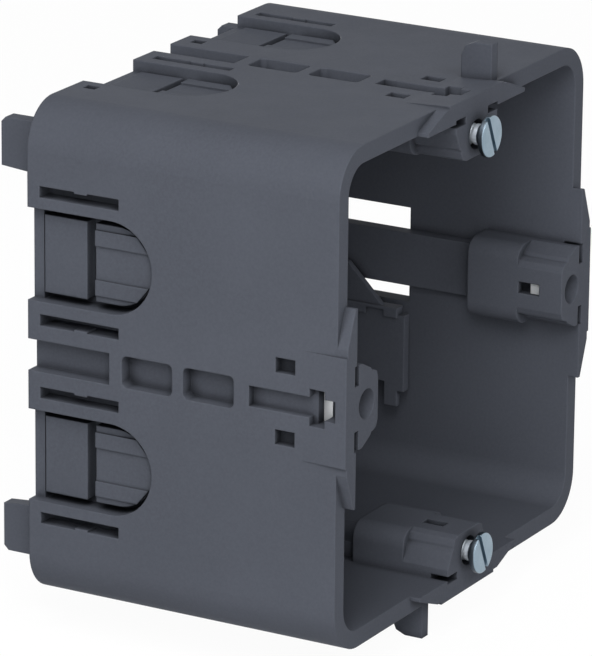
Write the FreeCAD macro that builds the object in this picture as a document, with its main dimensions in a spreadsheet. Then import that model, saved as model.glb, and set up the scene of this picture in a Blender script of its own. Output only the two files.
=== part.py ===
import FreeCAD, Part
import os
import Sketcher

# Flush device box: an open moulded housing for a built-in wiring device.
# Frame: +X right, +Y from the open front into the box, +Z up.
# y = 0 is the front rim, and the Y axis is the middle of the 60 mm fixing circle.

os.makedirs("parts", exist_ok=True)
doc = FreeCAD.newDocument("flush_device_box")
sheet = doc.addObject("Spreadsheet::Sheet", "dims")


# Every size in millimetres, and the one angle in degrees.
sizes = {
    # Housing shell
    "box_side": 70.5,
    "box_depth": 48.2,
    "wall": 2.5,
    "back_wall": 1.6,
    "corner_radius": 6.5,

    # Tongue on the middle of each side of the mouth, with the ramp behind it
    "tongue_height": 1.6,
    "tongue_half": 14.0,
    "tongue_flat_half": 8.8,
    "tongue_end_step": 1.95,
    "ramp_half": 7.7,
    "ramp_length": 5.3,
    "ramp_lift": 0.4,

    # Fixing boss behind each tongue
    "fixing_spacing": 60.0,
    "boss_length": 15.1,
    "boss_inner_depth": 3.1,
    "boss_half": 5.9,
    "boss_radius": 2.4,
    "boss_hole_fit": 0.5,
    "boss_hole_end": 0.5,
    "boss_step_length": 7.1,
    "boss_step_root": 4.3,
    "boss_step_width": 2.0,
    "boss_step_half": 4.75,
    "boss_lip_width": 1.7,
    "boss_lip_half": 4.3,
    "boss_lip_radius": 1.3,
    "boss_window_length": 3.3,
    "boss_window_half": 0.85,
    "boss_slot_half_inner": 3.15,
    "boss_slot_half_outer": 6,
    "boss_slot_width": 0.6,
    "boss_slot_depth": 2.7,

    # Raised band inside each wall, from the boss to the back
    "band_half": 3.95,
    "band_height": 2.1,

    # Row of recesses on the outside of each wall
    "recess_depth": 2.2,
    "entry_recess_depth": 1.7,
    "recess_half": 2.25,
    "recess_radius": 0.8,
    "near_recess_start": 15.8,
    "middle_recess_start": 25.4,
    "recess_length": 7.9,
    "rear_recess_start": 35.3,
    "groove_start": 4.15,
    "groove_length": 9.3,
    "groove_half": 1.45,
    "groove_depth": 1.3,
    "groove_head_length": 2.4,
    "groove_head_half": 2.6,
    "nut_window_front": 0.1,
    "nut_window_step": 1.75,
    "nut_window_rear": 3.5,
    "nut_window_half": 1.5,
    "nut_window_depth": 2.9,
    "socket_start": 6.4,
    "socket_length": 3.0,
    "socket_inner": 4.0,
    "socket_outer": 6.1,
    "socket_depth": 1.6,

    # Cable entries: two round-ended openings in each wall
    "entry_offset": 14.35,
    "entry_half": 6.55,
    "entry_centre": 35.15,
    "entry_frame": 0.6,
    "entry_frame_height": 1.75,
    "entry_ledge": 1.2,
    "entry_seat": 3.5,
    "slot_start": 33.8,
    "slot_length": 12.5,
    "slot_height": 1.6,
    "slot_inner": 4.4,
    "slot_outer": 22.5,
    "slot_tooth_start": 38.8,
    "slot_tooth_length": 2.0,
    "slot_tooth_height": 0.25,
    "slot_bar_end": 44.4,
    "slot_bar_overlap": 0.2,
    "joining_window_start": 26.0,
    "joining_window_inner": 2.75,
    "joining_window_outer": 7.1,

    # Closing pieces of the cable entries
    "flap_length": 6.7,
    "flap_half": 5.48,
    "flap_thickness": 2.25,
    "flap_rear_gap": 0.4,
    "plate_gap": 1.45,
    "plate_clearance": 1.05,
    "plate_shift": 0.6,
    "plate_thickness": 2.3,
    "rib_inner": 2.4,
    "rib_outer": 4.6,
    "rib_height": 0.3,
    "rib_front_inner": 5.5,
    "rib_front_outer": 3.7,

    # Fins on the top and bottom, and the four feet behind the back wall
    "fin_offset": 7.8,
    "fin_thickness": 1.7,
    "fin_front": 0.4,
    "fin_length": 4.7,
    "fin_height": 5.2,
    "fin_radius": 2.0,
    "foot_offset": 28.0,
    "foot_thickness": 2.0,
    "foot_inner": 24.4,
    "foot_outer": 31.3,
    "foot_reach": 7.45,
    "foot_chamfer": 0.7,

    # Plate nut in each boss
    "nut_front": 2.2,
    "nut_thickness": 1.5,
    "nut_half": 3.0,
    "nut_inner": 2.4,
    "nut_outer": 2.4,
    "nut_fit": 0.02,
    "thread_clearance": 0.05,

    # Fixing screws
    "screw_diameter": 3.2,
    "screw_head_diameter": 5.8,
    "screw_head_height": 0.8,
    "screw_stand_off": 1.6,
    "screw_length": 14.5,
    "screw_tip": 0.6,
    "screw_edge": 0.25,
    "screw_slot_width": 0.8,
    "screw_slot_depth": 0.5,
    "screw_slot_tilt": 24.0,

    # Strain relief inside the lower right cable entry
    "relief_front": 24.5,
    "relief_rib": 1.1,
    "relief_rib_drop": 1.1,
    "relief_rear": 38.0,
    "relief_inner": 7.05,
    "relief_panel": 0.95,
    "relief_recess": 0.4,
    "relief_flange": 1.5,
    "relief_width": 1.9,
    "relief_top": 6.9,
    "relief_shelf": 1.5,
    "relief_bottom": 18.3,
    "relief_foot": 19.5,
    "relief_gusset_top": 1.2,
    "relief_gusset_start": 28.3,
    "relief_tab_length": 2.1,
    "relief_tab_drop": 3.6,
    "relief_notch_start": 27.8,
    "relief_notch_length": 2.9,
    "relief_notch_depth": 0.5,
}
for row, (alias, number) in enumerate(sizes.items(), 1):
    sheet.set("A%d" % row, alias)
    sheet.set("B%d" % row, str(number))
    sheet.setAlias("B%d" % row, alias)
doc.recompute()

# Places that several features share
FACE = "(dims.box_side / 2)"
INNER = "(dims.box_side / 2 - dims.wall)"
BACK = "(dims.box_depth - dims.back_wall)"
AXIS = "(dims.fixing_spacing / 2)"
BOSS_IN = "(dims.fixing_spacing / 2 - dims.boss_inner_depth)"
SEAT = "(dims.box_side / 2 - dims.entry_seat)"
FRAME = "(dims.box_side / 2 - dims.wall - dims.entry_frame_height)"


def value(expression):
    return float(sheet.evalExpression(expression))


def origin_feature(body, role):
    for feature in body.Origin.OriginFeatures:
        if feature.Role == role:
            return feature


def new_body(name):
    body = doc.addObject("PartDesign::Body", name)
    body.Label = name
    return body


def new_sketch(body, name, role, offset, turn=0):
    sketch = body.newObject("Sketcher::SketchObject", name)
    sketch.AttachmentSupport = (origin_feature(body, role), [""])
    sketch.MapMode = "FlatFace"
    sketch.AttachmentOffset = FreeCAD.Placement(
        FreeCAD.Vector(0, 0, 0), FreeCAD.Rotation(FreeCAD.Vector(0, 0, 1), turn))
    sketch.setExpression("AttachmentOffset.Base.z", offset)
    return sketch


def front_sketch(body, name, depth):
    """Sketch across the box at this depth: x is X, y is Z."""
    return new_sketch(body, name, "XZ_Plane", "-1 * (%s)" % depth)


def side_sketch(body, name, offset):
    """Sketch along a side wall at this X: x is Y, y is Z."""
    return new_sketch(body, name, "YZ_Plane", offset)


def floor_sketch(body, name, offset):
    """Sketch along the bottom wall at this Z: x is Y, y is minus X."""
    return new_sketch(body, name, "XY_Plane", offset, 90)


def hold(sketch, item, point, across, up):
    """Ties a point of the sketch to two expressions."""
    index = sketch.addConstraint(
        Sketcher.Constraint("DistanceX", -1, 1, item, point, value(across)))
    sketch.setExpression("Constraints[%d]" % index, across)
    index = sketch.addConstraint(
        Sketcher.Constraint("DistanceY", -1, 1, item, point, value(up)))
    sketch.setExpression("Constraints[%d]" % index, up)


def hold_across(sketch, item, point, across):
    index = sketch.addConstraint(
        Sketcher.Constraint("DistanceX", -1, 1, item, point, value(across)))
    sketch.setExpression("Constraints[%d]" % index, across)


def join(sketch, first, first_end, second, second_end):
    sketch.addConstraint(
        Sketcher.Constraint("Coincident", first, first_end, second, second_end))


def vector(pair):
    return FreeCAD.Vector(value(pair[0]), value(pair[1]), 0)


def outline(sketch, corners):
    """Closed polygon whose corners are pairs of expressions."""
    lines = []
    for index, corner in enumerate(corners):
        following = corners[(index + 1) % len(corners)]
        line = sketch.addGeometry(Part.LineSegment(vector(corner), vector(following)), False)
        hold(sketch, line, 1, corner[0], corner[1])
        lines.append(line)
    for index, line in enumerate(lines):
        join(sketch, line, 2, lines[(index + 1) % len(lines)], 1)


def rectangle(sketch, left, right, low, high):
    outline(sketch, [(left, low), (right, low), (right, high), (left, high)])


def add_arc(sketch, centre, start, end):
    """Counter-clockwise arc from start to end, whose centre is held across."""
    middle = vector(centre)
    from_middle = vector(start) - middle
    to_middle = vector(end) - middle
    circle = Part.Circle(middle, FreeCAD.Vector(0, 0, 1), from_middle.Length)
    first = FreeCAD.Vector(1, 0, 0).getAngle(from_middle)
    last = FreeCAD.Vector(1, 0, 0).getAngle(to_middle)
    if from_middle.y < 0:
        first = -first
    if to_middle.y < 0:
        last = -last
    arc = sketch.addGeometry(Part.ArcOfCircle(circle, first, last), False)
    hold_across(sketch, arc, 3, centre[0])
    return arc


def rounded_rectangle(sketch, left, right, low, high, radius):
    """Rectangle with four equal round corners."""
    in_left = "%s + %s" % (left, radius)
    in_right = "%s - %s" % (right, radius)
    in_low = "%s + %s" % (low, radius)
    in_high = "%s - %s" % (high, radius)
    sides = [
        ((in_left, low), (in_right, low)),
        ((right, in_low), (right, in_high)),
        ((in_right, high), (in_left, high)),
        ((left, in_high), (left, in_low)),
    ]
    centres = [(in_right, in_low), (in_right, in_high), (in_left, in_high), (in_left, in_low)]
    lines = []
    for start, end in sides:
        line = sketch.addGeometry(Part.LineSegment(vector(start), vector(end)), False)
        hold(sketch, line, 1, start[0], start[1])
        hold(sketch, line, 2, end[0], end[1])
        lines.append(line)
    for index, centre in enumerate(centres):
        following = (index + 1) % 4
        arc = add_arc(sketch, centre, sides[index][1], sides[following][0])
        join(sketch, lines[index], 2, arc, 1)
        join(sketch, arc, 2, lines[following], 1)


def round_end(sketch, rear, centre, middle, half):
    """Opening with straight sides from the rear and a half circle at the front."""
    low = "%s - %s" % (middle, half)
    high = "%s + %s" % (middle, half)
    corners = [(centre, low), (rear, low), (rear, high), (centre, high)]
    lines = []
    for index in range(3):
        start = corners[index]
        end = corners[index + 1]
        line = sketch.addGeometry(Part.LineSegment(vector(start), vector(end)), False)
        hold(sketch, line, 1, start[0], start[1])
        lines.append(line)
    hold(sketch, lines[2], 2, corners[3][0], corners[3][1])
    join(sketch, lines[0], 2, lines[1], 1)
    join(sketch, lines[1], 2, lines[2], 1)
    middle_point = vector((centre, middle))
    radius = value(half)
    circle = Part.Circle(middle_point, FreeCAD.Vector(0, 0, 1), radius)
    quarter = 1.5707963267948966
    arc = sketch.addGeometry(Part.ArcOfCircle(circle, quarter, 3 * quarter), False)
    hold_across(sketch, arc, 3, centre)
    join(sketch, lines[2], 2, arc, 1)
    join(sketch, arc, 2, lines[0], 1)


def profile(sketch, points):
    """Closed counter-clockwise outline. A point with a centre starts an arc about it."""
    items = []
    for index, point in enumerate(points):
        following = points[(index + 1) % len(points)]
        if len(point) == 4:
            items.append(add_arc(sketch, point[2:], point[:2], following[:2]))
            continue
        line = sketch.addGeometry(Part.LineSegment(vector(point), vector(following)), False)
        hold(sketch, line, 1, point[0], point[1])
        if len(following) == 4:
            hold(sketch, line, 2, following[0], following[1])
        items.append(line)
    for index, item in enumerate(items):
        join(sketch, item, 2, items[(index + 1) % len(items)], 1)


def disc(sketch, across, up, radius):
    circle = Part.Circle(vector((across, up)), FreeCAD.Vector(0, 0, 1), value(radius))
    item = sketch.addGeometry(circle, False)
    hold(sketch, item, 3, across, up)
    index = sketch.addConstraint(Sketcher.Constraint("Radius", item, value(radius)))
    sketch.setExpression("Constraints[%d]" % index, radius)


def add_pad(body, name, sketch, length, backwards):
    feature = body.newObject("PartDesign::Pad", name)
    feature.Profile = sketch
    feature.setExpression("Length", length)
    feature.Reversed = backwards
    feature.Refine = False
    return feature


def cut_pocket(body, name, sketch, length, backwards):
    feature = body.newObject("PartDesign::Pocket", name)
    feature.Profile = sketch
    feature.setExpression("Length", length)
    feature.Reversed = backwards
    feature.Refine = False
    return feature


# Housing: a square shell with round corners, open at the front.
housing = new_body("housing")

shell_sketch = front_sketch(housing, "shell_outline", "0")
rounded_rectangle(
    shell_sketch, "-1 * " + FACE, FACE, "-1 * " + FACE, FACE, "dims.corner_radius")
shell = add_pad(housing, "shell", shell_sketch, "dims.box_depth", True)

cavity_sketch = front_sketch(housing, "cavity_outline", "0")
rounded_rectangle(
    cavity_sketch, "-1 * " + INNER, INNER, "-1 * " + INNER, INNER,
    "(dims.corner_radius - dims.wall)")
cavity = cut_pocket(housing, "cavity", cavity_sketch, BACK, False)

# One side of the housing, at +X. It is repeated on the other three sides.
tongue_sketch = front_sketch(housing, "tongue_outline", "0")
TONGUE_END = "(dims.box_side / 2 - dims.tongue_end_step)"
outline(tongue_sketch, [
    (INNER, "-1 * dims.tongue_half"),
    (TONGUE_END, "-1 * dims.tongue_half"),
    (FACE, "-1 * dims.tongue_flat_half"),
    (FACE, "dims.tongue_flat_half"),
    (TONGUE_END, "dims.tongue_half"),
    (INNER, "dims.tongue_half"),
])
tongue = add_pad(housing, "tongue", tongue_sketch, "dims.tongue_height", False)

ramp_sketch = new_sketch(housing, "ramp_outline", "XY_Plane", "-1 * dims.ramp_half")
outline(ramp_sketch, [
    (FACE + " - 0.5 * dims.wall", "-1 * dims.tongue_height"),
    (FACE + " + dims.ramp_lift", "-1 * dims.tongue_height"),
    (FACE, "dims.ramp_length"),
    (FACE + " - 0.5 * dims.wall", "dims.ramp_length"),
])
ramp = add_pad(housing, "ramp", ramp_sketch, "2 * dims.ramp_half", False)

boss_sketch = front_sketch(housing, "boss_outline", "-1 * dims.tongue_height")
BOSS_ROUND = "(dims.fixing_spacing / 2 - dims.boss_inner_depth + dims.boss_radius)"
BOSS_FLAT = "(dims.boss_half - dims.boss_radius)"
profile(boss_sketch, [
    (BOSS_ROUND, "-1 * dims.boss_half"),
    (INNER + " + 0.4 * dims.wall", "-1 * dims.boss_half"),
    (INNER + " + 0.4 * dims.wall", "dims.boss_half"),
    (BOSS_ROUND, "dims.boss_half", BOSS_ROUND, BOSS_FLAT),
    (BOSS_IN, BOSS_FLAT),
    (BOSS_IN, "-1 * " + BOSS_FLAT, BOSS_ROUND, "-1 * " + BOSS_FLAT),
])
boss = add_pad(housing, "boss", boss_sketch, "dims.boss_length", True)

band_sketch = front_sketch(
    housing, "band_outline", "(dims.boss_length - dims.tongue_height - 1)")
rectangle(
    band_sketch, INNER + " - dims.band_height", INNER + " + 0.4 * dims.wall",
    "-1 * dims.band_half", "dims.band_half")
band = add_pad(
    housing, "band", band_sketch,
    "(dims.box_depth - 0.5 * dims.back_wall - dims.boss_length + dims.tongue_height + 1)", True)

# Recesses in a row on the outside, the last one open at the rear.
recess_sketch = side_sketch(housing, "recess_outline", FACE)
for recess_start in ["dims.near_recess_start", "dims.middle_recess_start"]:
    rounded_rectangle(
        recess_sketch, recess_start, recess_start + " + dims.recess_length",
        "-1 * dims.recess_half", "dims.recess_half", "dims.recess_radius")
rectangle(
    recess_sketch, "dims.rear_recess_start", "(dims.box_depth + 1)",
    "-1 * dims.recess_half", "dims.recess_half")
recesses = cut_pocket(housing, "recesses", recess_sketch, "dims.recess_depth", False)

# Toothed slots beside each cable entry.
slot_sketch = side_sketch(housing, "slot_outline", FACE)
SLOT_END = "(dims.slot_start + dims.slot_length)"
TOOTH_END = "(dims.slot_tooth_start + dims.slot_tooth_length)"
for side in ["", "-1 * "]:
    OUTER_LOW = side + "dims.slot_outer"
    OUTER_HIGH = side + "(dims.slot_outer + dims.slot_height)"
    OUTER_TOOTH = side + "(dims.slot_outer + dims.slot_height - dims.slot_tooth_height)"
    outline(slot_sketch, [
        ("dims.slot_start", OUTER_LOW),
        (SLOT_END, OUTER_LOW),
        (SLOT_END, OUTER_HIGH),
        (TOOTH_END, OUTER_HIGH),
        (TOOTH_END, OUTER_TOOTH),
        ("dims.slot_tooth_start", OUTER_TOOTH),
        ("dims.slot_tooth_start", OUTER_HIGH),
        ("dims.slot_start", OUTER_HIGH),
    ])
    INNER_LOW = side + "dims.slot_inner"
    INNER_HIGH = side + "(dims.slot_inner + dims.slot_height)"
    INNER_TOOTH = side + "(dims.slot_inner + dims.slot_tooth_height)"
    outline(slot_sketch, [
        ("dims.slot_start", INNER_LOW),
        ("dims.slot_tooth_start", INNER_LOW),
        ("dims.slot_tooth_start", INNER_TOOTH),
        (TOOTH_END, INNER_TOOTH),
        (TOOTH_END, INNER_LOW),
        (SLOT_END, INNER_LOW),
        (SLOT_END, INNER_HIGH),
        ("dims.slot_start", INNER_HIGH),
    ])
slots = cut_pocket(housing, "slots", slot_sketch, "(dims.wall + 0.1)", False)

# Groove with a wider head, and the two square sockets beside it.
groove_sketch = side_sketch(housing, "groove_outline", FACE + " + dims.ramp_lift")
GROOVE_HEAD = "(dims.groove_start - dims.groove_head_length)"
GROOVE_END = "(dims.groove_start + dims.groove_length)"
outline(groove_sketch, [
    (GROOVE_HEAD, "-1 * dims.groove_head_half"),
    ("dims.groove_start", "-1 * dims.groove_head_half"),
    ("dims.groove_start", "-1 * dims.groove_half"),
    (GROOVE_END, "-1 * dims.groove_half"),
    (GROOVE_END, "dims.groove_half"),
    ("dims.groove_start", "dims.groove_half"),
    ("dims.groove_start", "dims.groove_head_half"),
    (GROOVE_HEAD, "dims.groove_head_half"),
])
groove = cut_pocket(
    housing, "groove", groove_sketch, "(dims.groove_depth + dims.ramp_lift)", False)

socket_sketch = side_sketch(housing, "socket_outline", FACE + " + dims.ramp_lift")
for side in ["", "-1 * "]:
    rectangle(
        socket_sketch, "dims.socket_start", "(dims.socket_start + dims.socket_length)",
        side + "dims.socket_inner", side + "dims.socket_outer")
sockets = cut_pocket(
    housing, "sockets", socket_sketch, "(dims.socket_depth + dims.ramp_lift)", False)

# Window in front of the plate nut, on the outside.
nut_window_sketch = side_sketch(housing, "nut_window_outline", FACE + " + dims.ramp_lift")
outline(nut_window_sketch, [
    ("dims.nut_window_front", "-1 * dims.nut_window_half"),
    ("dims.nut_window_step", "-1 * dims.nut_window_half"),
    ("dims.nut_window_step", "-1 * dims.groove_head_half"),
    ("dims.nut_window_rear", "-1 * dims.groove_head_half"),
    ("dims.nut_window_rear", "dims.groove_head_half"),
    ("dims.nut_window_step", "dims.groove_head_half"),
    ("dims.nut_window_step", "dims.nut_window_half"),
    ("dims.nut_window_front", "dims.nut_window_half"),
])
nut_window = cut_pocket(
    housing, "nut_window", nut_window_sketch, "(dims.nut_window_depth + dims.ramp_lift)", False)

# Pocket that holds the plate nut, the screw hole and the window on the boss's inner face.
nut_pocket_sketch = front_sketch(housing, "nut_pocket_outline", "(dims.nut_front - dims.nut_fit)")
rectangle(
    nut_pocket_sketch, AXIS + " - dims.nut_inner - dims.nut_fit",
    AXIS + " + dims.nut_outer + dims.nut_fit",
    "-1 * dims.nut_half - dims.nut_fit", "dims.nut_half + dims.nut_fit")
nut_pocket = cut_pocket(
    housing, "nut_pocket", nut_pocket_sketch, "(dims.nut_thickness + 2 * dims.nut_fit)", False)

hole_sketch = front_sketch(housing, "hole_outline", "-1 * dims.tongue_height")
disc(hole_sketch, AXIS, "0", "(dims.screw_diameter / 2 + dims.boss_hole_fit)")
hole = cut_pocket(
    housing, "screw_hole", hole_sketch,
    "(dims.screw_length - dims.screw_stand_off + dims.boss_hole_end)", False)

boss_window_sketch = side_sketch(housing, "boss_window_outline", BOSS_IN)
rectangle(
    boss_window_sketch, "(dims.nut_front - 0.2)",
    "(dims.nut_front - 0.2 + dims.boss_window_length)",
    "-1 * dims.boss_window_half", "dims.boss_window_half")
boss_window = cut_pocket(
    housing, "boss_window", boss_window_sketch, "(dims.boss_inner_depth - 1.2)", True)

# Narrower front part of the boss, with a lip each side, and the slits beside the wall.
boss_step_sketch = front_sketch(housing, "boss_step_outline", "-1 * dims.tongue_height")
LIP_ROUND = BOSS_IN + " + dims.boss_lip_radius"
LIP_FLAT = "(dims.boss_lip_half - dims.boss_lip_radius)"
profile(boss_step_sketch, [
    (BOSS_IN + " - 1", LIP_FLAT),
    (BOSS_IN, LIP_FLAT),
    (BOSS_IN + " + 0.3 * dims.boss_lip_radius", "(dims.boss_lip_half - 0.3 * dims.boss_lip_radius)"),
    (LIP_ROUND, "dims.boss_lip_half"),
    (BOSS_IN + " + dims.boss_lip_width", "dims.boss_lip_half"),
    (BOSS_IN + " + dims.boss_step_width", "dims.boss_step_half"),
    (BOSS_IN + " + dims.boss_step_root", "dims.boss_half"),
    (BOSS_IN + " + dims.boss_step_root", "(dims.boss_half + 1)"),
    (BOSS_IN + " - 1", "(dims.boss_half + 1)"),
])
profile(boss_step_sketch, [
    (BOSS_IN + " - 1", "-1 * (dims.boss_half + 1)"),
    (BOSS_IN + " + dims.boss_step_root", "-1 * (dims.boss_half + 1)"),
    (BOSS_IN + " + dims.boss_step_root", "-1 * dims.boss_half"),
    (BOSS_IN + " + dims.boss_step_width", "-1 * dims.boss_step_half"),
    (BOSS_IN + " + dims.boss_lip_width", "-1 * dims.boss_lip_half"),
    (LIP_ROUND, "-1 * dims.boss_lip_half"),
    (BOSS_IN + " + 0.3 * dims.boss_lip_radius",
     "-1 * (dims.boss_lip_half - 0.3 * dims.boss_lip_radius)"),
    (BOSS_IN, "-1 * " + LIP_FLAT),
    (BOSS_IN + " - 1", "-1 * " + LIP_FLAT),
])
boss_steps = cut_pocket(
    housing, "boss_steps", boss_step_sketch, "dims.boss_step_length", False)

boss_slot_sketch = front_sketch(housing, "boss_slot_outline", "-1 * dims.tongue_height")
for side in ["", "-1 * "]:
    rectangle(
        boss_slot_sketch, INNER + " - dims.boss_slot_width", INNER + " + 0.2 * dims.wall",
        side + "dims.boss_slot_half_inner", side + "dims.boss_slot_half_outer")
boss_slots = cut_pocket(housing, "boss_slots", boss_slot_sketch, "dims.boss_slot_depth", False)

sides = housing.newObject("PartDesign::PolarPattern", "four_sides")
sides.Originals = [
    tongue, ramp, boss, band, recesses, slots, groove, sockets, nut_window, nut_pocket, hole,
    boss_window, boss_steps, boss_slots,
]
sides.Axis = (origin_feature(housing, "Y_Axis"), [""])
sides.Angle = 360
sides.Occurrences = 4
sides.Refine = False
housing.Tip = sides

# Two cable entries in the bottom wall, repeated on the left and top walls.
frame_sketch = floor_sketch(housing, "entry_frame_outline", "-1 * " + FRAME)
entry_recess_sketch = floor_sketch(housing, "entry_recess_outline", "-1 * " + FACE)
seat_sketch = floor_sketch(housing, "entry_seat_outline", "-1 * " + FACE)
opening_sketch = floor_sketch(housing, "entry_opening_outline", "-1 * " + FACE)
for entry_middle in ["dims.entry_offset", "-1 * dims.entry_offset"]:
    round_end(
        frame_sketch, "(dims.box_depth - 0.5 * dims.back_wall)", "dims.entry_centre",
        entry_middle, "(dims.entry_half + dims.entry_frame)")
    round_end(
        entry_recess_sketch, "(dims.box_depth + 1)", "dims.entry_centre", entry_middle,
        "dims.entry_half")
    round_end(seat_sketch, BACK, "dims.entry_centre", entry_middle, "dims.entry_half")
    round_end(
        opening_sketch, BACK + " - dims.entry_ledge", "dims.entry_centre", entry_middle,
        "(dims.entry_half - dims.entry_ledge)")
entry_frame = add_pad(
    housing, "entry_frame", frame_sketch, "(dims.entry_frame_height + 0.4 * dims.wall)", True)
entry_recess = cut_pocket(
    housing, "entry_recesses", entry_recess_sketch, "dims.entry_recess_depth", True)
entry_seat = cut_pocket(housing, "entry_seats", seat_sketch, "dims.entry_seat", True)
entry_opening = cut_pocket(
    housing, "entry_openings", opening_sketch,
    "(dims.wall + dims.entry_frame_height + 1)", True)

entries = housing.newObject("PartDesign::PolarPattern", "three_sides")
entries.Originals = [entry_frame, entry_recess, entry_seat, entry_opening]
entries.Axis = (origin_feature(housing, "Y_Axis"), [""])
entries.Angle = 180
entries.Occurrences = 3
entries.Refine = False
housing.Tip = entries

# Bars that close most of two slots in the top wall.
bar_sketch = floor_sketch(housing, "slot_bar_outline", FACE)
for bar_low, bar_high in [
        ("-1 * (dims.slot_inner + dims.slot_height)", "-1 * dims.slot_inner"),
        ("dims.slot_outer", "(dims.slot_outer + dims.slot_height)")]:
    rectangle(
        bar_sketch, "(dims.slot_start - dims.slot_bar_overlap)", "dims.slot_bar_end",
        bar_low + " - dims.slot_bar_overlap", bar_high + " + dims.slot_bar_overlap")
slot_bars = add_pad(housing, "slot_bars", bar_sketch, "dims.wall", True)
housing.Tip = slot_bars

# The right wall has two long windows for joining boxes side by side.
joining_sketch = side_sketch(housing, "joining_window_outline", FACE)
for side in ["", "-1 * "]:
    rectangle(
        joining_sketch, "dims.joining_window_start", SLOT_END,
        side + "dims.joining_window_inner", side + "dims.joining_window_outer")
joining = cut_pocket(housing, "joining_windows", joining_sketch, "(dims.wall + 0.1)", False)

# Fins: one on the top right of the middle, one on the bottom left of it.
FIN_REAR = "(dims.fin_front + dims.fin_length)"


def fin(name, offset, sign):
    sketch = side_sketch(housing, name + "_outline", offset)
    root = sign + "(dims.box_side / 2 - 0.5 * dims.wall)"
    tip = sign + "(dims.box_side / 2 + dims.fin_height)"
    shoulder = sign + "(dims.box_side / 2 + dims.fin_height - dims.fin_radius)"
    cheek = sign + "(dims.box_side / 2 + dims.fin_height - 0.3 * dims.fin_radius)"
    outline(sketch, [
        ("dims.fin_front", root),
        ("dims.fin_front", tip),
        (FIN_REAR + " - dims.fin_radius", tip),
        (FIN_REAR + " - 0.3 * dims.fin_radius", cheek),
        (FIN_REAR, shoulder),
        (FIN_REAR, root),
    ])
    return add_pad(housing, name, sketch, "dims.fin_thickness", False)


top_fin = fin("top_fin", "dims.fin_offset", "")
bottom_fin = fin("bottom_fin", "-1 * (dims.fin_offset + dims.fin_thickness)", "-1 * ")

# Feet: four thin plates behind the back wall.
FOOT_END = "(dims.box_depth + dims.foot_reach)"


def feet(name, offset):
    sketch = side_sketch(housing, name + "_outline", offset)
    for sign in ["", "-1 * "]:
        outline(sketch, [
            (BACK + " + 0.5 * dims.back_wall", sign + "(dims.foot_inner - dims.foot_chamfer)"),
            (FOOT_END, sign + "dims.foot_inner"),
            (FOOT_END, sign + "(dims.foot_outer - dims.foot_chamfer)"),
            (FOOT_END + " - dims.foot_chamfer", sign + "dims.foot_outer"),
            (BACK + " + 0.5 * dims.back_wall", sign + "dims.foot_outer"),
        ])
    return add_pad(housing, name, sketch, "dims.foot_thickness", False)


right_feet = feet("right_feet", "dims.foot_offset")
left_feet = feet("left_feet", "-1 * (dims.foot_offset + dims.foot_thickness)")
left_feet.Refine = True
doc.recompute()


def turned(angle):
    """Placement that turns a right-hand piece about the Y axis to another side."""
    return FreeCAD.Placement(
        FreeCAD.Vector(0, 0, 0), FreeCAD.Rotation(FreeCAD.Vector(0, 1, 0), angle))


# Plate nut: a flat threaded plate held in the boss.
def plate_nut(name, angle):
    body = new_body(name)
    sketch = front_sketch(body, name + "_outline", "dims.nut_front")
    rectangle(
        sketch, AXIS + " - dims.nut_inner", AXIS + " + dims.nut_outer",
        "-1 * dims.nut_half", "dims.nut_half")
    disc(sketch, AXIS, "0", "(dims.screw_diameter / 2 + dims.thread_clearance)")
    add_pad(body, name + "_plate", sketch, "dims.nut_thickness", True)
    doc.recompute()
    body.Placement = turned(angle)
    return body


# Fixing screw: flat slotted head and plain shank, its axis along Y.
def fixing_screw(name, sign):
    body = new_body(name)
    sketch = new_sketch(body, name + "_half_profile", "XY_Plane", "0")
    head_front = "-1 * (dims.tongue_height + dims.screw_stand_off + dims.screw_head_height)"
    head_rear = "-1 * (dims.tongue_height + dims.screw_stand_off)"
    tip = "(dims.screw_length - dims.tongue_height - dims.screw_stand_off)"
    outline(sketch, [
        ("0", head_front),
        ("(dims.screw_head_diameter / 2 - dims.screw_edge)", head_front),
        ("(dims.screw_head_diameter / 2)", head_front + " + dims.screw_edge"),
        ("(dims.screw_head_diameter / 2)", head_rear),
        ("(dims.screw_diameter / 2)", head_rear),
        ("(dims.screw_diameter / 2)", tip + " - dims.screw_tip"),
        ("(dims.screw_diameter / 2 - dims.screw_tip)", tip),
        ("0", tip),
    ])
    turn = body.newObject("PartDesign::Revolution", name + "_turned")
    turn.Profile = sketch
    turn.ReferenceAxis = (sketch, ["V_Axis"])
    turn.Angle = 360
    slot = front_sketch(body, name + "_slot_outline", head_front)
    rectangle(
        slot, "-0.5 * dims.screw_slot_width", "0.5 * dims.screw_slot_width",
        "-0.6 * dims.screw_head_diameter", "0.6 * dims.screw_head_diameter")
    cut_pocket(body, name + "_slot", slot, "dims.screw_slot_depth", False)
    doc.recompute()
    body.Placement = FreeCAD.Placement(
        FreeCAD.Vector(0, 0, sign * value(AXIS)),
        FreeCAD.Rotation(FreeCAD.Vector(0, 1, 0), -1 * value("dims.screw_slot_tilt")))
    return body


# Flat flap at the rear of a cable entry.
def entry_flap(name, sign, angle):
    body = new_body(name)
    middle = "%d * dims.entry_offset" % sign
    sketch = side_sketch(body, name + "_outline", SEAT)
    rectangle(
        sketch, BACK + " - dims.flap_rear_gap - dims.flap_length",
        BACK + " - dims.flap_rear_gap",
        middle + " - dims.flap_half", middle + " + dims.flap_half")
    add_pad(body, name + "_plate", sketch, "dims.flap_thickness", False)
    doc.recompute()
    body.Placement = turned(angle)
    return body


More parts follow.
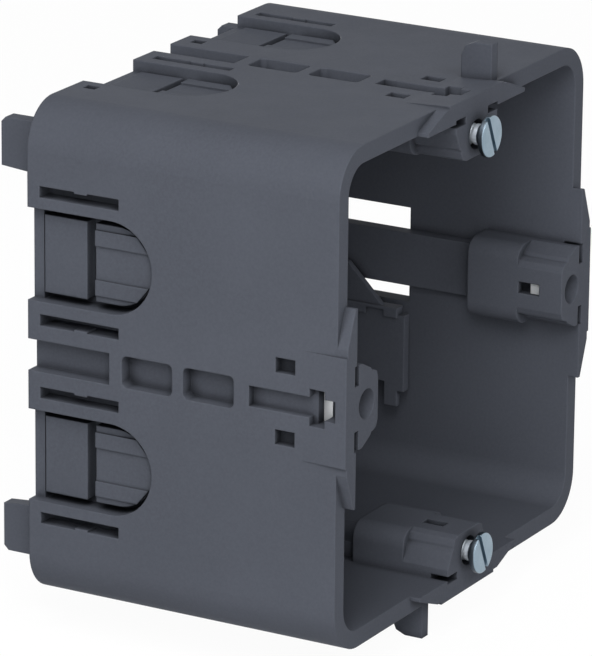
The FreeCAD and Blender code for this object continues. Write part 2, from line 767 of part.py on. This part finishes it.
# Round-ended closing plate at the front of a cable entry, with two ribs.
def entry_plate(name, sign, angle):
    body = new_body(name)
    middle = "%d * dims.entry_offset" % sign
    rear = BACK + " - dims.flap_rear_gap - dims.flap_length - dims.plate_gap"
    sketch = side_sketch(body, name + "_outline", SEAT)
    round_end(
        sketch, rear, "(dims.entry_centre - dims.plate_shift)", middle,
        "(dims.entry_half - dims.plate_clearance)")
    add_pad(body, name + "_base", sketch, "dims.plate_thickness", False)
    rib_sketch = side_sketch(body, name + "_rib_outline", SEAT + " + dims.plate_thickness - 0.1")
    for side in ["+", "-"]:
        inner = "%s %s dims.rib_inner" % (middle, side)
        outer = "%s %s dims.rib_outer" % (middle, side)
        outline(rib_sketch, [
            ("(dims.entry_centre - dims.rib_front_inner)", inner),
            (rear, inner),
            (rear, outer),
            ("(dims.entry_centre - dims.rib_front_outer)", outer),
        ])
    add_pad(body, name + "_ribs", rib_sketch, "(dims.rib_height + 0.1)", False)
    doc.recompute()
    body.Placement = turned(angle)
    return body


# Strain relief: shelf, panel, front rib and gusset in one moulding.
def strain_relief(name):
    body = new_body(name)
    inner_x = "(dims.box_side / 2 - dims.relief_inner)"
    panel_front = "(dims.relief_front + dims.relief_rib)"
    panel_sketch = side_sketch(
        body, name + "_panel_outline", inner_x + " + dims.relief_recess")
    outline(panel_sketch, [
        ("dims.relief_front", "-1 * dims.relief_foot"),
        ("dims.relief_front", "-1 * (dims.relief_top + dims.relief_rib_drop)"),
        (panel_front, "-1 * (dims.relief_top + dims.relief_rib_drop)"),
        (panel_front, "-1 * dims.relief_top"),
        ("dims.relief_gusset_start", "-1 * dims.relief_top"),
        ("(dims.relief_gusset_start + dims.relief_top - dims.relief_gusset_top)",
         "-1 * dims.relief_gusset_top"),
        ("dims.relief_rear", "-1 * dims.relief_gusset_top"),
        ("dims.relief_rear", "-1 * dims.relief_bottom"),
        (panel_front + " + dims.relief_tab_length", "-1 * dims.relief_bottom"),
        (panel_front + " + dims.relief_tab_length",
         "-1 * (dims.relief_bottom + dims.relief_tab_drop)"),
        (panel_front, "-1 * (dims.relief_bottom + dims.relief_tab_drop)"),
        (panel_front, "-1 * dims.relief_foot"),
    ])
    add_pad(body, name + "_panel", panel_sketch, "dims.relief_panel", False)
    shelf_low = "-1 * (dims.relief_top + dims.relief_shelf)"
    shelf_sketch = side_sketch(body, name + "_shelf_outline", inner_x)
    rectangle(
        shelf_sketch, panel_front, "dims.relief_rear", shelf_low, "-1 * dims.relief_top")
    add_pad(body, name + "_shelf", shelf_sketch, "dims.relief_width", False)
    notch_sketch = side_sketch(body, name + "_notch_outline", inner_x)
    rectangle(
        notch_sketch, "dims.relief_notch_start",
        "(dims.relief_notch_start + dims.relief_notch_length)",
        shelf_low + " - 1", "-1 * (dims.relief_top + dims.relief_notch_depth)")
    cut_pocket(body, name + "_notch", notch_sketch, "dims.relief_recess", True)
    seat_sketch = side_sketch(body, name + "_seat_outline", inner_x + " + dims.relief_recess")
    rectangle(
        seat_sketch, "(dims.relief_notch_start + dims.relief_notch_length)",
        "dims.relief_rear", shelf_low, "-1 * dims.relief_top")
    add_pad(
        body, name + "_seat", seat_sketch,
        "(dims.relief_inner - dims.relief_recess - dims.wall)", False)
    rib_sketch = side_sketch(body, name + "_rib_outline", inner_x + " + dims.relief_recess")
    rectangle(
        rib_sketch, "dims.relief_front", panel_front, "-1 * dims.relief_foot",
        "-1 * (dims.relief_top + dims.relief_rib_drop)")
    add_pad(body, name + "_rib", rib_sketch, "dims.relief_flange", False)
    doc.recompute()
    return body


parts = [housing]
parts.append(fixing_screw("screw_top", 1))
parts.append(fixing_screw("screw_bottom", -1))
for side_name, angle in [("right", 0), ("bottom", 90), ("left", 180), ("top", 270)]:
    parts.append(plate_nut("plate_nut_" + side_name, angle))
for side_name, angle in [("bottom", 90), ("left", 180), ("top", 270)]:
    for end_name, sign in [("first", 1), ("second", -1)]:
        parts.append(entry_flap("entry_flap_%s_%s" % (side_name, end_name), sign, angle))
        parts.append(entry_plate("entry_plate_%s_%s" % (side_name, end_name), sign, angle))
parts.append(strain_relief("strain_relief"))
doc.recompute()

# Every object has to be sound before anything is written.
for item in doc.Objects:
    if "Invalid" in item.State or "Error" in item.State:
        raise RuntimeError("%s: %s" % (item.Name, item.State))
for body in parts:
    if body.Shape.isNull() or not body.Shape.isValid() or len(body.Shape.Solids) != 1:
        raise RuntimeError("%s: %d solids" % (body.Label, len(body.Shape.Solids)))
for body in parts:
    body.Shape.exportStep("parts/%s.step" % body.Label)
    print(body.Label, round(body.Shape.Volume, 2), body.Shape.BoundBox)
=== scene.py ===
import math

import bmesh
import bpy
from mathutils import Matrix, Vector


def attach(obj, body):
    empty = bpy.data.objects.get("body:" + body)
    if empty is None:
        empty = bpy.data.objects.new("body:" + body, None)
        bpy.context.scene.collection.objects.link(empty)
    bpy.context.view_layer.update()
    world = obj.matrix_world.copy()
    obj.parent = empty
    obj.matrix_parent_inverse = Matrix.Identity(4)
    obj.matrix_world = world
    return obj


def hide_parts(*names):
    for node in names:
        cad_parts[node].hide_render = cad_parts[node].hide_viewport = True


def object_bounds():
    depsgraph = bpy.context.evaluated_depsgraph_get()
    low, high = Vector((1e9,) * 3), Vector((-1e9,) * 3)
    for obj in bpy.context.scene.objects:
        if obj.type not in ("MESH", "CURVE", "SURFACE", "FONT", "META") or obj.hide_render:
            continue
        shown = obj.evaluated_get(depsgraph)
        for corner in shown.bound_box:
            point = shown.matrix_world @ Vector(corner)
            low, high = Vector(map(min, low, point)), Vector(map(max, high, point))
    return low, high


MM = 0.001
IMAGE_WIDTH = 592
IMAGE_HEIGHT = 656

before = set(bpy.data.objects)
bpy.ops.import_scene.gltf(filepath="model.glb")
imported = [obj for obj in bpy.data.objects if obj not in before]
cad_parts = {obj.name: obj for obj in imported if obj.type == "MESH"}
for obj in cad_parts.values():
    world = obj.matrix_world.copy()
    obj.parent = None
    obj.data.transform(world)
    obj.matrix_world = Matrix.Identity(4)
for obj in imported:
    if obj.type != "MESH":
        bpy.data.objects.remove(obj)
cad_low, cad_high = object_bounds()

# ---------------------------------------------------------------- camera
CAMERA_AZIMUTH = math.radians(-60.480)
CAMERA_ELEVATION = math.radians(17.686)
CAMERA_ROLL = math.radians(0.574)
CAMERA_PLACE = Vector((-638.3325, -334.8456, 231.5018)) * MM
FOCAL_PIXELS = 5506.2
CENTRE_PIXEL = (293.93, 328.745)
SENSOR_WIDTH = 36.0
CLIP_NEAR = 0.05
CLIP_FAR = 20.0


def make_camera():
    """The photograph's camera: its turn, its place and its long lens."""
    back = Vector((
        math.sin(CAMERA_AZIMUTH) * math.cos(CAMERA_ELEVATION),
        -math.cos(CAMERA_AZIMUTH) * math.cos(CAMERA_ELEVATION),
        math.sin(CAMERA_ELEVATION)))
    level = Vector((math.cos(CAMERA_AZIMUTH), math.sin(CAMERA_AZIMUTH), 0.0))
    upright = back.cross(level)
    right = level * math.cos(CAMERA_ROLL) + upright * math.sin(CAMERA_ROLL)
    up = upright * math.cos(CAMERA_ROLL) - level * math.sin(CAMERA_ROLL)
    data = bpy.data.cameras.new("camera")
    data.sensor_width = SENSOR_WIDTH
    data.lens = FOCAL_PIXELS * SENSOR_WIDTH / IMAGE_HEIGHT
    data.shift_x = (IMAGE_WIDTH / 2 - CENTRE_PIXEL[0]) / IMAGE_HEIGHT
    data.shift_y = (CENTRE_PIXEL[1] - IMAGE_HEIGHT / 2) / IMAGE_HEIGHT
    data.clip_start = CLIP_NEAR
    data.clip_end = CLIP_FAR
    camera = bpy.data.objects.new("camera", data)
    turn = Matrix((right, up, back)).transposed().to_4x4()
    camera.matrix_world = Matrix.Translation(CAMERA_PLACE) @ turn
    bpy.context.scene.collection.objects.link(camera)
    bpy.context.scene.camera = camera


make_camera()


# ---------------------------------------------------------------- node helpers
# Noise gives most of its factor between these two values.
NOISE_LOW = 0.3
NOISE_HIGH = 0.7
BEVEL_SAMPLES = 6
# The dot product of the rounded and the flat normal at an edge and on a face.
EDGE_DOT = 0.75
FACE_DOT = 0.99
CREASE_SAMPLES = 8


def new_material(name):
    material = bpy.data.materials.new(name)
    material.use_nodes = True
    nodes = material.node_tree.nodes
    nodes.clear()
    output = nodes.new("ShaderNodeOutputMaterial")
    shader = nodes.new("ShaderNodeBsdfPrincipled")
    material.node_tree.links.new(shader.outputs["BSDF"], output.inputs["Surface"])
    return material, nodes, material.node_tree.links, shader


def place_node(nodes, links, scale=(1.0, 1.0, 1.0)):
    """Object coordinates, stretched by a scale."""
    coordinates = nodes.new("ShaderNodeTexCoord")
    mapping = nodes.new("ShaderNodeMapping")
    mapping.inputs["Scale"].default_value = scale
    links.new(coordinates.outputs["Object"], mapping.inputs["Vector"])
    return mapping.outputs["Vector"]


def noise_node(nodes, links, place, scale, detail, roughness=0.5):
    noise = nodes.new("ShaderNodeTexNoise")
    noise.inputs["Scale"].default_value = scale
    noise.inputs["Detail"].default_value = detail
    noise.inputs["Roughness"].default_value = roughness
    links.new(place, noise.inputs["Vector"])
    return noise.outputs["Fac"]


def spread(nodes, links, factor, low, high, low_in=NOISE_LOW, high_in=NOISE_HIGH):
    """Maps a factor to a range of numbers."""
    node = nodes.new("ShaderNodeMapRange")
    node.inputs["From Min"].default_value = low_in
    node.inputs["From Max"].default_value = high_in
    node.inputs["To Min"].default_value = low
    node.inputs["To Max"].default_value = high
    links.new(factor, node.inputs["Value"])
    return node.outputs["Result"]


def blend_colours(nodes, links, factor, first, second):
    """Mixes two colours, each of them a plain colour or the output of a node."""
    node = nodes.new("ShaderNodeMix")
    node.data_type = "RGBA"
    links.new(factor, node.inputs["Factor"])
    for socket, colour in (("A", first), ("B", second)):
        target = [s for s in node.inputs if s.name == socket and s.type == "RGBA"][0]
        if hasattr(colour, "is_output"):
            links.new(colour, target)
        else:
            target.default_value = (*colour, 1.0)
    return [s for s in node.outputs if s.type == "RGBA"][0]


def shade(colour, factor):
    return [part * factor for part in colour]


def bump_node(nodes, links, height, strength, distance, normal):
    bump = nodes.new("ShaderNodeBump")
    bump.inputs["Strength"].default_value = strength
    bump.inputs["Distance"].default_value = distance
    links.new(height, bump.inputs["Height"])
    links.new(normal, bump.inputs["Normal"])
    return bump.outputs["Normal"]


def rounded_normal(nodes, links, radius):
    """The normal of edges rounded by this radius."""
    rounded = nodes.new("ShaderNodeBevel")
    rounded.samples = BEVEL_SAMPLES
    rounded.inputs["Radius"].default_value = radius
    return rounded.outputs["Normal"]


def edge_factor(nodes, links, rounded):
    """How far the rounded normal leans from the flat one: 0 on a face, 1 at an edge."""
    geometry = nodes.new("ShaderNodeNewGeometry")
    product = nodes.new("ShaderNodeVectorMath")
    product.operation = "DOT_PRODUCT"
    links.new(rounded, product.inputs[0])
    links.new(geometry.outputs["Normal"], product.inputs[1])
    return spread(nodes, links, product.outputs["Value"], 1.0, 0.0, EDGE_DOT, FACE_DOT)


def painted_shade_factor(nodes, links, reach, deep, open_face):
    """How deep a place lies in a crease or a hole, the mask of painted shade: 0 on an open
    face, 1 deep inside.
    """
    hollow = nodes.new("ShaderNodeAmbientOcclusion")
    hollow.samples = CREASE_SAMPLES
    hollow.inputs["Distance"].default_value = reach
    return spread(nodes, links, hollow.outputs["AO"], 1.0, 0.0, deep, open_face)


# ---------------------------------------------------------------- moulded plastic
# Scales of the patterns are per metre.
CLOUD_SCALE = 55.0
CLOUD_DETAIL = 3.0
CLOUD_SHARE = 0.045
SPECK_SCALE = 2600.0
SPECK_DETAIL = 2.0
SPECK_ROUGHNESS = 0.6
SPECK_SHARE = 0.15
PLASTIC_EDGE = 0.30 * MM
# Share of the painted highlight on rounded edges.
PLASTIC_EDGE_HIGHLIGHT_SHARE = 0.35
# Painted shade in creases and holes: reach, range of the hollow factor, share and dark tone.
PLASTIC_SHADE_REACH = 2.2 * MM
PLASTIC_SHADE_RANGE = (0.28, 0.78)
PLASTIC_SHADE_SHARE = 0.88
PLASTIC_SHADE_TONE = 0.12
GLOSS_SCALE = 210.0
GLOSS_DETAIL = 3.0
GLOSS_LESS = 0.035
GLOSS_MORE = 0.045
GRAIN_SCALE = 5200.0
GRAIN_DETAIL = 2.0
GRAIN_ROUGHNESS = 0.65
GRAIN_STRENGTH = 0.16
GRAIN_HEIGHT = 0.03 * MM
PLASTIC_SPECULAR = 0.01
PLASTIC_IOR = 1.46


def moulded_plastic(name, colour, roughness, variety):
    """Satin moulded plastic: cloudy tone, fine eroded grain, a painted highlight on edges,
    painted shade in creases.
    """
    material, nodes, links, shader = new_material(name)
    place = place_node(nodes, links)
    cloud = noise_node(nodes, links, place, CLOUD_SCALE + variety, CLOUD_DETAIL)
    speck = noise_node(nodes, links, place, SPECK_SCALE, SPECK_DETAIL, SPECK_ROUGHNESS)
    tone = blend_colours(
        nodes, links, spread(nodes, links, cloud, 0.0, 1.0),
        shade(colour, 1.0 - CLOUD_SHARE), shade(colour, 1.0 + CLOUD_SHARE))
    tone = blend_colours(
        nodes, links, spread(nodes, links, speck, 0.0, SPECK_SHARE), tone, SPECK_AND_HIGHLIGHT_COLOUR)
    rounded = rounded_normal(nodes, links, PLASTIC_EDGE)
    # Painted highlight: the colour lightens at rounded edges.
    edge_highlight = edge_factor(nodes, links, rounded)
    tone = blend_colours(
        nodes, links, spread(nodes, links, edge_highlight, 0.0, PLASTIC_EDGE_HIGHLIGHT_SHARE, 0.0, 1.0),
        tone, SPECK_AND_HIGHLIGHT_COLOUR)
    # Painted shade: the colour darkens towards a dark copy of itself in creases and holes.
    painted_shade = painted_shade_factor(nodes, links, PLASTIC_SHADE_REACH, *PLASTIC_SHADE_RANGE)
    tone = blend_colours(
        nodes, links, spread(nodes, links, painted_shade, 0.0, PLASTIC_SHADE_SHARE, 0.0, 1.0),
        tone, shade(colour, PLASTIC_SHADE_TONE))
    links.new(tone, shader.inputs["Base Color"])
    gloss = noise_node(nodes, links, place, GLOSS_SCALE, GLOSS_DETAIL)
    links.new(
        spread(nodes, links, gloss, roughness - GLOSS_LESS, roughness + GLOSS_MORE),
        shader.inputs["Roughness"])
    grain = noise_node(nodes, links, place, GRAIN_SCALE, GRAIN_DETAIL, GRAIN_ROUGHNESS)
    links.new(
        bump_node(nodes, links, grain, GRAIN_STRENGTH, GRAIN_HEIGHT, rounded),
        shader.inputs["Normal"])
    shader.inputs["Specular IOR Level"].default_value = PLASTIC_SPECULAR
    shader.inputs["IOR"].default_value = PLASTIC_IOR
    return material


# ---------------------------------------------------------------- plated steel
STEEL_CLOUD_SCALE = 420.0
STEEL_CLOUD_DETAIL = 4.0
# Painted shade in creases and holes: reach, range of the hollow factor and dark tone.
STEEL_SHADE_REACH = 0.7 * MM
STEEL_SHADE_RANGE = (0.30, 0.85)
STEEL_SHADE_TONE = 0.2
DRAWN_DETAIL = 3.0
DRAWN_ROUGHNESS = 0.6
DRAWN_LESS = 0.07
DRAWN_MORE = 0.09
DRAWN_STRENGTH = 0.22
DRAWN_HEIGHT = 0.012 * MM
STEEL_EDGE = 0.12 * MM


def plated_steel(name, colour, darker, roughness, stretch, painted_shade_share, metallic):
    """Zinc-plated steel: drawn grain, cloudy passivated tone, painted shade in creases,
    softened edges.
    """
    material, nodes, links, shader = new_material(name)
    place = place_node(nodes, links)
    cloud = noise_node(nodes, links, place, STEEL_CLOUD_SCALE, STEEL_CLOUD_DETAIL)
    tone = blend_colours(nodes, links, spread(nodes, links, cloud, 0.0, 1.0), darker, colour)
    # Painted shade: the colour darkens in creases and holes by the given share.
    painted_shade = painted_shade_factor(nodes, links, STEEL_SHADE_REACH, *STEEL_SHADE_RANGE)
    tone = blend_colours(
        nodes, links, spread(nodes, links, painted_shade, 0.0, painted_shade_share, 0.0, 1.0),
        tone, shade(colour, STEEL_SHADE_TONE))
    links.new(tone, shader.inputs["Base Color"])
    drawn = place_node(nodes, links, stretch)
    grain = noise_node(nodes, links, drawn, 1.0, DRAWN_DETAIL, DRAWN_ROUGHNESS)
    links.new(
        spread(nodes, links, grain, roughness - DRAWN_LESS, roughness + DRAWN_MORE),
        shader.inputs["Roughness"])
    rounded = rounded_normal(nodes, links, STEEL_EDGE)
    links.new(
        bump_node(nodes, links, grain, DRAWN_STRENGTH, DRAWN_HEIGHT, rounded),
        shader.inputs["Normal"])
    shader.inputs["Metallic"].default_value = metallic
    return material


# ---------------------------------------------------------------- materials of the pieces
HOUSING_COLOUR = (0.0575, 0.0625, 0.0765)
ENTRY_COLOUR = (0.0555, 0.0605, 0.074)
# Lighter colour of the random specks and of the painted highlight on edges.
SPECK_AND_HIGHLIGHT_COLOUR = (0.102, 0.110, 0.131)
# Stretches of the drawn grain: turned on the head, drawn along the screw, rolled on the nut.
HEAD_GRAIN = (9000.0, 900.0, 1500.0)
SHANK_GRAIN = (900.0, 9000.0, 900.0)
NUT_GRAIN = (2500.0, 9000.0, 2500.0)

housing_plastic = moulded_plastic(
    "housing_moulded_plastic", HOUSING_COLOUR, roughness=0.46, variety=0.0)
entry_plastic = moulded_plastic(
    "entry_moulded_plastic", ENTRY_COLOUR, roughness=0.50, variety=7.0)
relief_plastic = moulded_plastic(
    "relief_moulded_plastic", HOUSING_COLOUR, roughness=0.48, variety=13.0)
screw_steel = plated_steel(
    "screw_plated_steel", (0.288, 0.373, 0.442), (0.242, 0.322, 0.387),
    roughness=0.34, stretch=HEAD_GRAIN, painted_shade_share=0.80, metallic=1.0)
# A darker copy of the screw steel: painted shade on the head's rim and on the neck next to the
# head.
painted_shade_steel = plated_steel(
    "painted_shade_plated_steel", (0.085, 0.105, 0.125), (0.065, 0.08, 0.10),
    roughness=0.40, stretch=SHANK_GRAIN, painted_shade_share=0.80, metallic=1.0)
shank_steel = plated_steel(
    "shank_plated_steel", (0.78, 0.84, 0.91), (0.66, 0.73, 0.81),
    roughness=0.36, stretch=SHANK_GRAIN, painted_shade_share=0.60, metallic=0.72)
nut_steel = plated_steel(
    "nut_plated_steel", (0.93, 0.95, 0.97), (0.80, 0.82, 0.84),
    roughness=0.42, stretch=NUT_GRAIN, painted_shade_share=0.05, metallic=0.72)


def dress(node, material):
    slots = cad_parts[node].data.materials
    slots.clear()
    slots.append(material)


for node_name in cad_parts:
    if node_name == "housing":
        dress(node_name, housing_plastic)
    elif node_name.startswith("entry_"):
        dress(node_name, entry_plastic)
    elif node_name.startswith("plate_nut"):
        dress(node_name, nut_steel)
    elif node_name.startswith("screw"):
        dress(node_name, screw_steel)
    else:
        dress(node_name, relief_plastic)


# ---------------------------------------------------------------- fixing screws
# The axis runs along Y. The head's front face has the lowest Y.
SCREW_AXIS = 30.0 * MM
SCREW_SEGMENTS = 56
HEAD_FRONT = -4.0 * MM
HEAD_REAR = -3.2 * MM
HEAD_RADIUS = 2.9 * MM
HEAD_ROUND = 0.22 * MM
HEAD_ROUND_STEPS = 5
HEAD_CHAMFER = 0.08 * MM
HEAD_RINGS = (0.62, 0.3)
NECK_RADIUS = 1.45 * MM
NECK_END = -1.5 * MM
NECK_RELIEF = 0.12 * MM
NECK_SHADE = HEAD_REAR + 0.95 * MM
FILLET_WIDTH = 0.25 * MM
FILLET_MIDDLE = (0.08 * MM, 0.06 * MM)
THREAD_CREST = 1.59 * MM
THREAD_ROOT = 1.27 * MM
THREAD_PITCH = 0.8 * MM
THREAD_STEPS = 8
THREAD_END = 10.6 * MM
# The thread's profile: a flat crest, a slope on each side, and a flat root.
THREAD_FLAT = 1.6
THREAD_SLOPE = 4.0
TIP = 11.3 * MM
TIP_RADIUS = 0.9 * MM
SLOT_WIDTH = 0.8 * MM
SLOT_FLOOR = -3.5 * MM
SLOT_TILT = math.radians(24.0)
SLOT_OVERRUN = 1.5
SHARP_EDGE = math.radians(38.0)
# Where the painted shade starts: a darker copy of the steel on the head's rim and on the neck
# next to the head.
RIM_REAR = HEAD_REAR + 0.02 * MM
RIM_FRONT = HEAD_FRONT + 0.10 * MM
RIM_RADIUS = HEAD_RADIUS - 0.10 * MM
HEAD_SLOT, SHANK_SLOT, PAINTED_SHADE_SLOT = 0, 1, 2


def thread_radius(turn, place):
    """Radius of the thread at this angle and place along the axis, faded out at both ends."""
    phase = (place / THREAD_PITCH - turn / math.tau) % 1.0
    rise = min(1.0, max(0.0, THREAD_FLAT - THREAD_SLOPE * abs(phase - 0.5)))
    fade = min(1.0, (place - NECK_END) / THREAD_PITCH, (THREAD_END - place) / THREAD_PITCH)
    return THREAD_ROOT + (THREAD_CREST - THREAD_ROOT) * rise * max(0.0, fade)


def screw_rings():
    """Rings from the tip to the head's front: place along the axis, and radius.

    A radius of None is the thread's."""
    rings = [(TIP, 0.5 * TIP_RADIUS), (TIP, TIP_RADIUS)]
    count = round((THREAD_END - NECK_END) / THREAD_PITCH * THREAD_STEPS)
    for index in range(count + 1):
        rings.append((THREAD_END + (NECK_END - THREAD_END) * index / count, None))
    middle_place, middle_step = FILLET_MIDDLE
    rings += [
        (NECK_END - NECK_RELIEF, NECK_RADIUS),
        (NECK_SHADE, NECK_RADIUS),
        (HEAD_REAR + FILLET_WIDTH, NECK_RADIUS),
        (HEAD_REAR + middle_place, NECK_RADIUS + middle_step),
        (HEAD_REAR, NECK_RADIUS + FILLET_WIDTH),
        (HEAD_REAR, HEAD_RADIUS - HEAD_CHAMFER),
        (HEAD_REAR - HEAD_CHAMFER, HEAD_RADIUS),
    ]
    for step in range(HEAD_ROUND_STEPS + 1):
        angle = math.radians(90.0 * step / HEAD_ROUND_STEPS)
        rings.append((
            HEAD_FRONT + HEAD_ROUND * (1.0 - math.sin(angle)),
            HEAD_RADIUS - HEAD_ROUND * (1.0 - math.cos(angle))))
    rings += [(HEAD_FRONT, share * HEAD_RADIUS) for share in HEAD_RINGS]
    return rings


def turned_mesh(name):
    """The whole screw without its slot, as one closed mesh on the Y axis."""
    form = bmesh.new()
    rows = []
    for place, radius in screw_rings():
        row = []
        for index in range(SCREW_SEGMENTS):
            turn = math.tau * index / SCREW_SEGMENTS
            reach = thread_radius(turn, place) if radius is None else radius
            row.append(form.verts.new((reach * math.cos(turn), place, reach * math.sin(turn))))
        rows.append(row)
    for first, second in zip(rows, rows[1:]):
        for index in range(SCREW_SEGMENTS):
            after = (index + 1) % SCREW_SEGMENTS
            form.faces.new((first[index], first[after], second[after], second[index]))
    for row, place in ((rows[0], TIP), (rows[-1], HEAD_FRONT)):
        middle = form.verts.new((0.0, place, 0.0))
        for index in range(SCREW_SEGMENTS):
            form.faces.new((row[index], row[(index + 1) % SCREW_SEGMENTS], middle))
    bmesh.ops.recalc_face_normals(form, faces=form.faces)
    mesh = bpy.data.meshes.new(name)
    form.to_mesh(mesh)
    form.free()
    return mesh


def box_mesh(name, low, high):
    form = bmesh.new()
    bmesh.ops.create_cube(form, size=1.0)
    for corner in form.verts:
        for axis in range(3):
            corner.co[axis] = low[axis] if corner.co[axis] < 0 else high[axis]
    mesh = bpy.data.meshes.new(name)
    form.to_mesh(mesh)
    form.free()
    return mesh


def cut_slot(screw):
    """The screw's mesh with the slot cut into its head."""
    half_length = SLOT_OVERRUN * HEAD_RADIUS
    slot_mesh = box_mesh(
        screw.name + "_slot", (-0.5 * SLOT_WIDTH, HEAD_FRONT - MM, -half_length),
        (0.5 * SLOT_WIDTH, SLOT_FLOOR, half_length))
    cutter = bpy.data.objects.new(screw.name + "_slot", slot_mesh)
    bpy.context.scene.collection.objects.link(cutter)
    cut = screw.modifiers.new("slot", "BOOLEAN")
    cut.operation = "DIFFERENCE"
    cut.object = cutter
    cut.solver = "EXACT"
    mesh = bpy.data.meshes.new_from_object(
        screw.evaluated_get(bpy.context.evaluated_depsgraph_get()))
    screw.modifiers.clear()
    bpy.data.objects.remove(cutter)
    bpy.data.meshes.remove(slot_mesh)
    return mesh


def screw_material_slot(place, radius):
    """Which of the screw's materials a face at this place and radius gets."""
    if place > NECK_SHADE:
        return SHANK_SLOT
    # Painted shade on the neck next to the head and on the head's rim.
    if place > RIM_REAR or (radius > RIM_RADIUS and place > RIM_FRONT):
        return PAINTED_SHADE_SLOT
    return HEAD_SLOT


def make_screw(name, node, body, side):
    """A slotted screw that stands for the CAD node. Side is 1 at the top, -1 at the bottom."""
    plain = turned_mesh(name)
    screw = bpy.data.objects.new(name, plain)
    bpy.context.scene.collection.objects.link(screw)
    mesh = cut_slot(screw)
    screw.data = mesh
    bpy.data.meshes.remove(plain)
    mesh.name = name
    height = side * SCREW_AXIS
    mesh.transform(
        Matrix.Translation((0.0, 0.0, height)) @ Matrix.Rotation(-SLOT_TILT, 4, "Y"))
    for material in (screw_steel, shank_steel, painted_shade_steel):
        mesh.materials.append(material)
    for face in mesh.polygons:
        face.use_smooth = True
        radius = math.hypot(face.center.x, face.center.z - height)
        face.material_index = screw_material_slot(face.center.y, radius)
    mesh.set_sharp_from_angle(angle=SHARP_EDGE)
    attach(screw, body)
    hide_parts(node)


make_screw("slotted_screw_top", "screw_top", "top_screw", 1)
make_screw("slotted_screw_bottom", "screw_bottom", "bottom_screw", -1)


# ---------------------------------------------------------------- floor, backdrop and light
FLOOR_HALF = 4.0
FLOOR_GAP = 0.2 * MM
FLOOR_WHITE = (0.93, 0.93, 0.93, 1.0)
# The share of the floor's colour that shows as plain white; the rest keeps the shadow.
FLOOR_WHITE_SHARE = 0.96
SOFT_COLOUR = (0.96, 0.98, 1.0, 1.0)
SOFT_STRENGTH = 0.13
WHITE = (1.0, 1.0, 1.0, 1.0)
LIGHT_AIM = (0.0, 0.02, 0.0)
LIGHTS = (
    # name, place, diameter, power
    ("key", (-0.53, -0.22, 0.44), 0.34, 3.4),
    ("upper", (-0.34, 0.02, 0.62), 0.34, 2.5),
    ("side", (-0.62, -0.40, 0.16), 0.34, 1.3),
    ("high", (-0.20, -0.60, 0.50), 0.34, 1.9),
    ("rear", (0.66, 0.76, 0.09), 0.22, 3.0),
)


def seen_directly(nodes, links):
    """1 for camera, glossy and transmission rays, 0 for the light that falls on the object."""
    path = nodes.new("ShaderNodeLightPath")
    total = path.outputs["Is Camera Ray"]
    for ray in ("Is Glossy Ray", "Is Transmission Ray"):
        add = nodes.new("ShaderNodeMath")
        add.operation = "ADD"
        add.use_clamp = True
        links.new(total, add.inputs[0])
        links.new(path.outputs[ray], add.inputs[1])
        total = add.outputs[0]
    return total


def make_floor():
    """A white floor just below the lowest point, which keeps a faint shadow."""
    mesh = bpy.data.meshes.new("floor")
    height = cad_low.z - FLOOR_GAP
    corners = ((-1, -1), (1, -1), (1, 1), (-1, 1))
    mesh.from_pydata(
        [(x * FLOOR_HALF, y * FLOOR_HALF, height) for x, y in corners], [], [(0, 1, 2, 3)])
    floor = bpy.data.objects.new("floor", mesh)
    bpy.context.scene.collection.objects.link(floor)
    material = bpy.data.materials.new("floor_white")
    material.use_nodes = True
    nodes = material.node_tree.nodes
    links = material.node_tree.links
    nodes.clear()
    output = nodes.new("ShaderNodeOutputMaterial")
    matte = nodes.new("ShaderNodeBsdfDiffuse")
    matte.inputs["Color"].default_value = FLOOR_WHITE
    bright = nodes.new("ShaderNodeEmission")
    bright.inputs["Strength"].default_value = 1.0
    share = nodes.new("ShaderNodeMath")
    share.operation = "MULTIPLY"
    share.inputs[1].default_value = FLOOR_WHITE_SHARE
    links.new(seen_directly(nodes, links), share.inputs[0])
    mix = nodes.new("ShaderNodeMixShader")
    links.new(share.outputs[0], mix.inputs["Fac"])
    links.new(matte.outputs[0], mix.inputs[1])
    links.new(bright.outputs[0], mix.inputs[2])
    links.new(mix.outputs[0], output.inputs["Surface"])
    mesh.materials.append(material)


def make_world():
    """Soft light on the object, and white wherever the world is seen or reflected."""
    world = bpy.data.worlds.new("studio")
    bpy.context.scene.world = world
    world.use_nodes = True
    nodes = world.node_tree.nodes
    links = world.node_tree.links
    nodes.clear()
    output = nodes.new("ShaderNodeOutputWorld")
    mix = nodes.new("ShaderNodeMixShader")
    links.new(seen_directly(nodes, links), mix.inputs["Fac"])
    for socket, colour, strength in ((1, SOFT_COLOUR, SOFT_STRENGTH), (2, WHITE, 1.0)):
        background = nodes.new("ShaderNodeBackground")
        background.inputs["Color"].default_value = colour
        background.inputs["Strength"].default_value = strength
        links.new(background.outputs[0], mix.inputs[socket])
    links.new(mix.outputs[0], output.inputs["Surface"])


def area_light(name, place, diameter, power):
    data = bpy.data.lights.new(name, "AREA")
    data.shape = "DISK"
    data.size = diameter
    data.energy = power
    light = bpy.data.objects.new(name, data)
    light.location = place
    direction = Vector(LIGHT_AIM) - Vector(place)
    light.rotation_euler = direction.to_track_quat("-Z", "Y").to_euler()
    bpy.context.scene.collection.objects.link(light)


bpy.context.scene.view_settings.view_transform = "Standard"
make_floor()
make_world()
for lamp in LIGHTS:
    area_light(*lamp)
